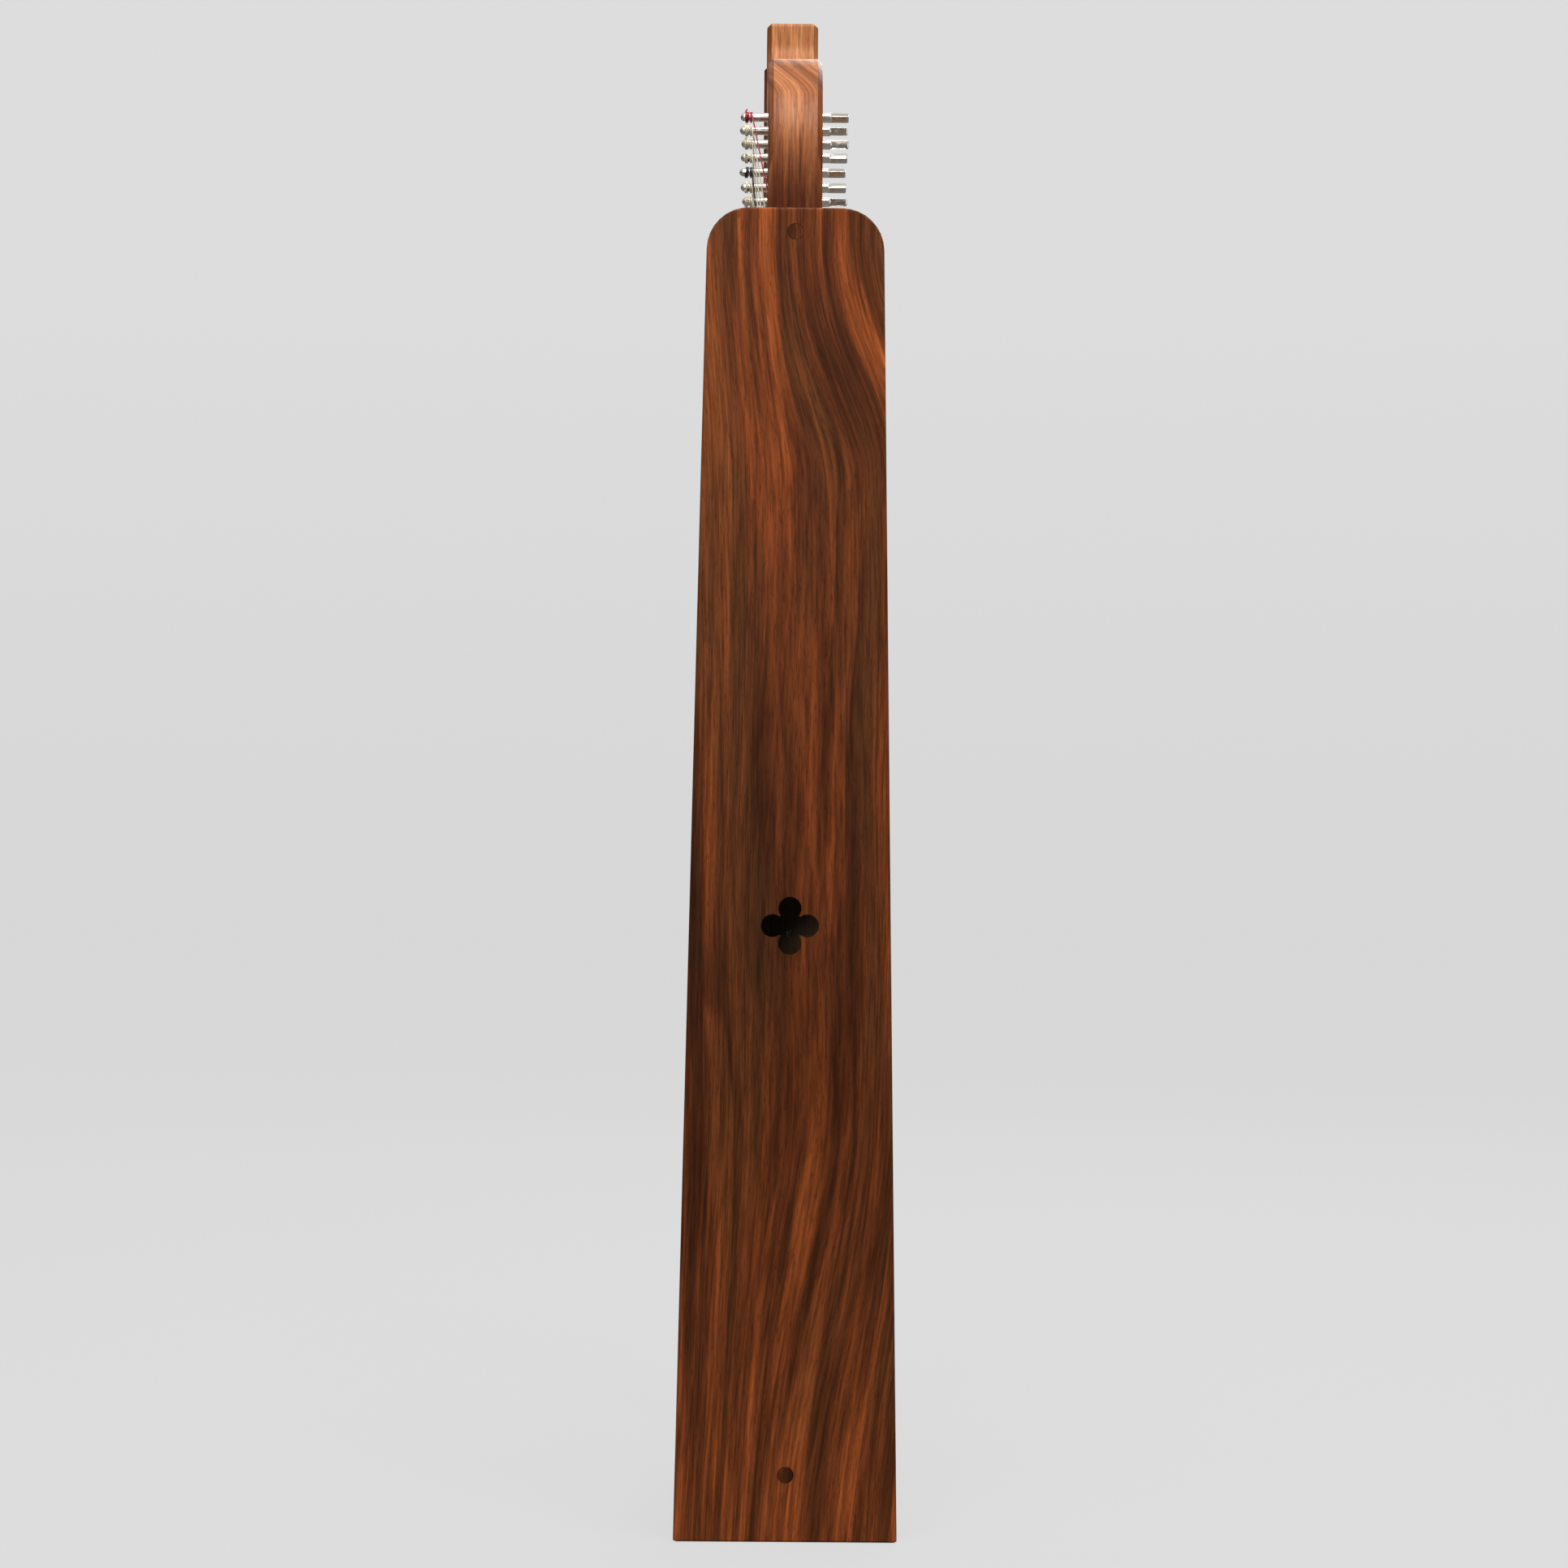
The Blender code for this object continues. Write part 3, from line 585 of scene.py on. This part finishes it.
def make_pins(material):
    mesh = fine_pin_mesh()
    wear(mesh, material)
    for index, note in enumerate(NOTES):
        low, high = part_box(f"tuning_pin_{note}")
        place = Vector(((low.x + high.x) / 2, *PIN_PLACES[note][1:]))
        turn = Matrix.Rotation(math.radians(PIN_TURNS[index % len(PIN_TURNS)]), 4, "X")
        pin = link(bpy.data.objects.new(f"pin_{note}", mesh))
        pin.matrix_world = Matrix.Translation(place) @ turn
        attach(pin, f"pin_{note}")
        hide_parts(f"tuning_pin_{note}")


def string_radius(index):
    share = index / (len(NOTES) - 1)
    return (THIN_STRING + (THICK_STRING - THIN_STRING) * share) / 2


def wrap_pitch(index):
    """How far one turn of a string lies from the next."""
    return 2 * string_radius(index) + 0.02 * MM


def around_pin(note, x, angle, radius):
    """A point beside a pin. Angle 0 is its back, a quarter turn is its top."""
    _, y, z = PIN_PLACES[note]
    return Vector((x, y - radius * math.cos(angle), z + radius * math.sin(angle)))


def make_strand(index, note, material):
    """A string from its eyelet to its pin, with its first turn round the pin."""
    radius = string_radius(index)
    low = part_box(f"string_{note}")[0]
    anchor = Vector((0, RIB_FACE + 1 * MM, low.z + radius))
    wrap = PIN_TIP_RADIUS + radius + 0.04 * MM
    _, pin_y, pin_z = PIN_PLACES[note]
    away = Vector((pin_y - anchor.y, pin_z - anchor.z))
    start = math.atan2(away.x, away.y) + math.asin(wrap / away.length)
    points = [anchor + Vector((0, front * MM, up * MM)) for front, up in STRING_TAIL]
    for step in range(STRAND_STEPS + 1):
        angle = 2 * math.pi * STRAND_TURNS * step / STRAND_STEPS
        x = STRING_AT_PIN - wrap_pitch(index) * angle / (2 * math.pi)
        points.append(around_pin(note, x, start + angle, wrap))
    return wire(f"strand_{note}", points, radius, material)


def make_winding(index, note, material):
    """The other turns of a string, which go round with its pin, and its cut end."""
    radius = string_radius(index)
    pitch = wrap_pitch(index)
    wrap = PIN_TIP_RADIUS + radius + 0.06 * MM
    first = STRING_AT_PIN - (STRAND_TURNS + 1.02) * pitch
    turns = min(WINDING_MOST_TURNS, (first - WINDING_END) / pitch)
    points = []
    for step in range(WINDING_STEPS + 1):
        angle = 2 * math.pi * turns * step / WINDING_STEPS
        x = first - pitch * angle / (2 * math.pi)
        points.append(around_pin(note, x, WINDING_START_ANGLE + angle, wrap))
    across = 0.35 * math.sin(index * 2.1)
    last = points[-1]
    end_angle = WINDING_START_ANGLE + 2 * math.pi * turns
    rise = around_pin(note, 0, end_angle, 1.0) - around_pin(note, 0, 0, 0)
    rise = Vector((across, *rise.yz)).normalized()
    side = Vector((0.5, 0.2, 0.4)).normalized()
    points.append(last + rise * 0.6 * MM + side * 0.5 * MM)
    points.append(last + rise * 1.1 * MM + side * 1.3 * MM)
    return wire(f"winding_{note}", points, radius, material)


def knot_points(note, radius):
    """An overhand knot behind the inner rib: a trefoil, flattened along Y."""
    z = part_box(f"string_{note}")[0].z - 1.4 * MM
    centre = Vector((0, INNER_RIB_BACK - 2.4 * radius - 0.2 * MM, z))
    points = []
    for step in range(KNOT_STEPS + 1):
        t = 2 * math.pi * step / KNOT_STEPS
        x = math.sin(t) + 2 * math.sin(2 * t)
        up = math.cos(t) - 2 * math.cos(2 * t)
        back = -math.sin(3 * t)
        points.append(centre + Vector((x, 0.9 * back, up)) * 1.25 * radius)
    return points


def make_eyelet_mesh(brass):
    """A turned brass eyelet with a rolled lip, its face at +Z."""
    profile = [
        (1.15 * MM, 0.75 * MM),
        (1.5 * MM, 0.95 * MM),
        (2.0 * MM, 0.9 * MM),
        (2.35 * MM, 0.5 * MM),
        (2.4 * MM, 0.02 * MM),
        (1.0 * MM, 0.02 * MM),
    ]
    mesh = turned("eyelet", profile, 28)
    soften(mesh, 50)
    wear(mesh, brass)
    return mesh


def make_strings(red, black, clear, brass):
    eyelet_mesh = make_eyelet_mesh(brass)
    to_front = Matrix.Rotation(-math.pi / 2, 4, "X")
    looks = {"c": (red, "red_nylon"), "f": (black, "black_nylon")}
    for index, note in enumerate(NOTES):
        material, slot = looks.get(note[0], (clear, "clear_nylon"))
        strand = make_strand(index, note, material)
        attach(strand, BODY)
        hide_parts(f"string_{note}")
        winding = make_winding(index, note, material)
        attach(winding, f"pin_{note}")
        radius = string_radius(index)
        knot = wire(f"knot_{note}", knot_points(note, radius), radius, material)
        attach(knot, BODY)
        eyelet = link(bpy.data.objects.new(f"eyelet_{note}", eyelet_mesh))
        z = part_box(f"string_{note}")[0].z - 0.8 * MM
        eyelet.matrix_world = Matrix.Translation((0, RIB_FACE, z)) @ to_front
        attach(eyelet, BODY)


def smooth_cad(name):
    """Shades a CAD node smooth across its shallow edges."""
    obj = frame["nodes"][name]
    obj.data.shade_smooth()
    weld = obj.modifiers.new("weld", "WELD")
    weld.merge_threshold = 1e-5
    split = obj.modifiers.new("split", "EDGE_SPLIT")
    split.split_angle = math.radians(SHARP_ANGLE)
    even = obj.modifiers.new("even", "WEIGHTED_NORMAL")
    even.keep_sharp = True


def dress_cad():
    """Gives each wooden and steel CAD node its material."""
    panel = rosewood("rosewood_back", panel_point, painted_light_of=panel_painted_light)
    sides = rosewood("rosewood_sides", plank_point(0, (0.31, 0.2, 0.1)), light=0.95)
    # Partly painted light: light=1.22 and the tan stops make the neck paler and brighter than the back,
    # standing in part for the top light and sheen on its rim.
    neck = rosewood(
        "rosewood_neck",
        neck_point,
        light=1.22,
        bands=190.0,
        contrast=1.25,
        stops=TAN_STOPS,
        olive_colour=(0.30, 0.1050, 0.0400),
        pores=0.3,
        rings=0.4,
        painted_light_of=neck_painted_light,
    )
    pillar = rosewood("rosewood_pillar", plank_point(14, (0.9, 0.4, 0.6)), light=1.1)
    foot = rosewood("rosewood_foot", plank_point(90, (0.2, 0.6, 0.9)))
    plug = rosewood("rosewood_plug", plank_point(0, (0.05, 0.33, 0.21)), light=0.6, contrast=0.5)
    board = pale_wood("soundboard_wood", (0.40, 0.21, 0.085), (0.60, 0.37, 0.17))
    block = pale_wood(
        "block_wood", (0.33, 0.18, 0.085), (0.52, 0.33, 0.17), lines=300.0, rough=0.6, coat=0.0
    )
    steel = metal("screw_steel", (0.55, 0.55, 0.56), 0.28, 0.3)
    looks = {
        "back_panel": panel,
        "left_side": sides,
        "right_side": sides,
        "top_block": sides,
        "neck": neck,
        "pillar": pillar,
        "base_foot": foot,
        "string_rib": sides,
        "upper_plug": plug,
        "lower_plug": plug,
        "soundboard": board,
        "upper_screw": steel,
        "lower_screw": steel,
        "pillar_screw": steel,
    }
    for name in frame["nodes"]:
        if name.startswith(("tuning_pin_", "string_")) and name != "string_rib":
            continue
        wear(frame["nodes"][name].data, looks.get(name, block))
        smooth_cad(name)


# ---------------------------------------------------------------- studio


def make_backdrop():
    """A round floor that curves up into a wall all round."""
    profile = [(0.0, 0.0), (FLOOR_RADIUS, 0.0)]
    for step in range(1, CURVE_STEPS + 1):
        angle = math.pi / 2 * step / CURVE_STEPS
        radius = FLOOR_RADIUS + CURVE_RADIUS * math.sin(angle)
        profile.append((radius, CURVE_RADIUS * (1 - math.cos(angle))))
    profile.append((FLOOR_RADIUS + CURVE_RADIUS, WALL_HEIGHT))
    profile = [(radius, height - FLOOR_DROP) for radius, height in profile]
    backdrop = link(bpy.data.objects.new("backdrop", turned("backdrop", profile, 96, 1e-5)))
    backdrop.data.shade_smooth()
    wear(backdrop.data, backdrop_material())
    backdrop.visible_glossy = False
    backdrop.visible_diffuse = False


def make_world():
    """Light from all round, brighter overhead and dim at the horizon, as between studio softboxes."""
    world = bpy.data.worlds.new("studio")
    world.use_nodes = True
    tree = world.node_tree
    shader = tree.nodes["Background"]
    place = tree.nodes.new("ShaderNodeTexCoord")
    parts = tree.nodes.new("ShaderNodeSeparateXYZ")
    ramp = tree.nodes.new("ShaderNodeValToRGB")
    half = tree.nodes.new("ShaderNodeMath")
    half.operation = "MULTIPLY_ADD"
    half.inputs[1].default_value = 0.5
    half.inputs[2].default_value = 0.5
    tree.links.new(place.outputs["Generated"], parts.inputs[0])
    tree.links.new(parts.outputs["Z"], half.inputs[0])
    tree.links.new(half.outputs[0], ramp.inputs[0])
    tree.links.new(ramp.outputs[0], shader.inputs["Color"])
    levels = [(0.0, 0.35), (0.38, 0.3), (0.48, 0.1), (0.56, 0.15), (0.70, 0.6), (1.0, 0.9)]
    set_stops(ramp.color_ramp, [(position, (level, level, level)) for position, level in levels])
    shader.inputs["Strength"].default_value = 0.9
    bpy.context.scene.world = world


def area_light(name, place, target, size, power):
    light = bpy.data.lights.new(name, "AREA")
    light.shape = "RECTANGLE"
    light.size, light.size_y = size
    light.energy = power
    obj = link(bpy.data.objects.new(name, light))
    obj.location = place
    look = Vector(target) - Vector(place)
    obj.rotation_euler = look.to_track_quat("-Z", "Y").to_euler()


def make_lights():
    area_light("top_softbox", (0.1, -0.9, 2.9), (0, 0.0, 0.7), (1.6, 1.0), 75)
    area_light("front_softbox", (-0.7, -2.6, 1.3), (0, 0, 0.45), (1.0, 1.4), 14)
    area_light("side_softbox", (1.7, -1.6, 1.0), (0, 0, 0.5), (0.7, 1.4), 8)
    area_light("far_softbox", (0.6, 2.2, 1.7), (0, 0.1, 0.5), (1.2, 1.0), 16)


def make_camera():
    camera = bpy.data.cameras.new("camera")
    camera.lens = LENS
    camera.sensor_width = SENSOR
    obj = link(bpy.data.objects.new("camera", camera))
    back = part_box("back_panel")[0].y
    turn = Matrix.Rotation(math.radians(CAMERA_YAW), 4, "Z")
    level = Matrix.Rotation(math.pi / 2, 4, "X")
    roll = Matrix.Rotation(math.radians(-CAMERA_ROLL), 4, "Z")
    place = Matrix.Translation((-CAMERA_LEFT, back - CAMERA_BACK, CAMERA_HEIGHT))
    obj.matrix_world = place @ turn @ level @ roll
    bpy.context.scene.camera = obj
    bpy.context.scene.view_settings.view_transform = "Standard"


make_camera()
make_backdrop()
make_world()
make_lights()
dress_cad()
make_pins(metal("nickel", (0.67, 0.61, 0.54), 0.16, 0.35))
make_strings(
    nylon("red_nylon", (0.52, 0.025, 0.035), (0.33, 0.012, 0.02)),
    nylon("black_nylon", (0.035, 0.033, 0.04), (0.015, 0.014, 0.018)),
    nylon("clear_nylon", (0.86, 0.80, 0.62), (0.70, 0.62, 0.42), clear=0.1),
    metal("brass", (0.75, 0.52, 0.2), 0.2, 0.3),
)
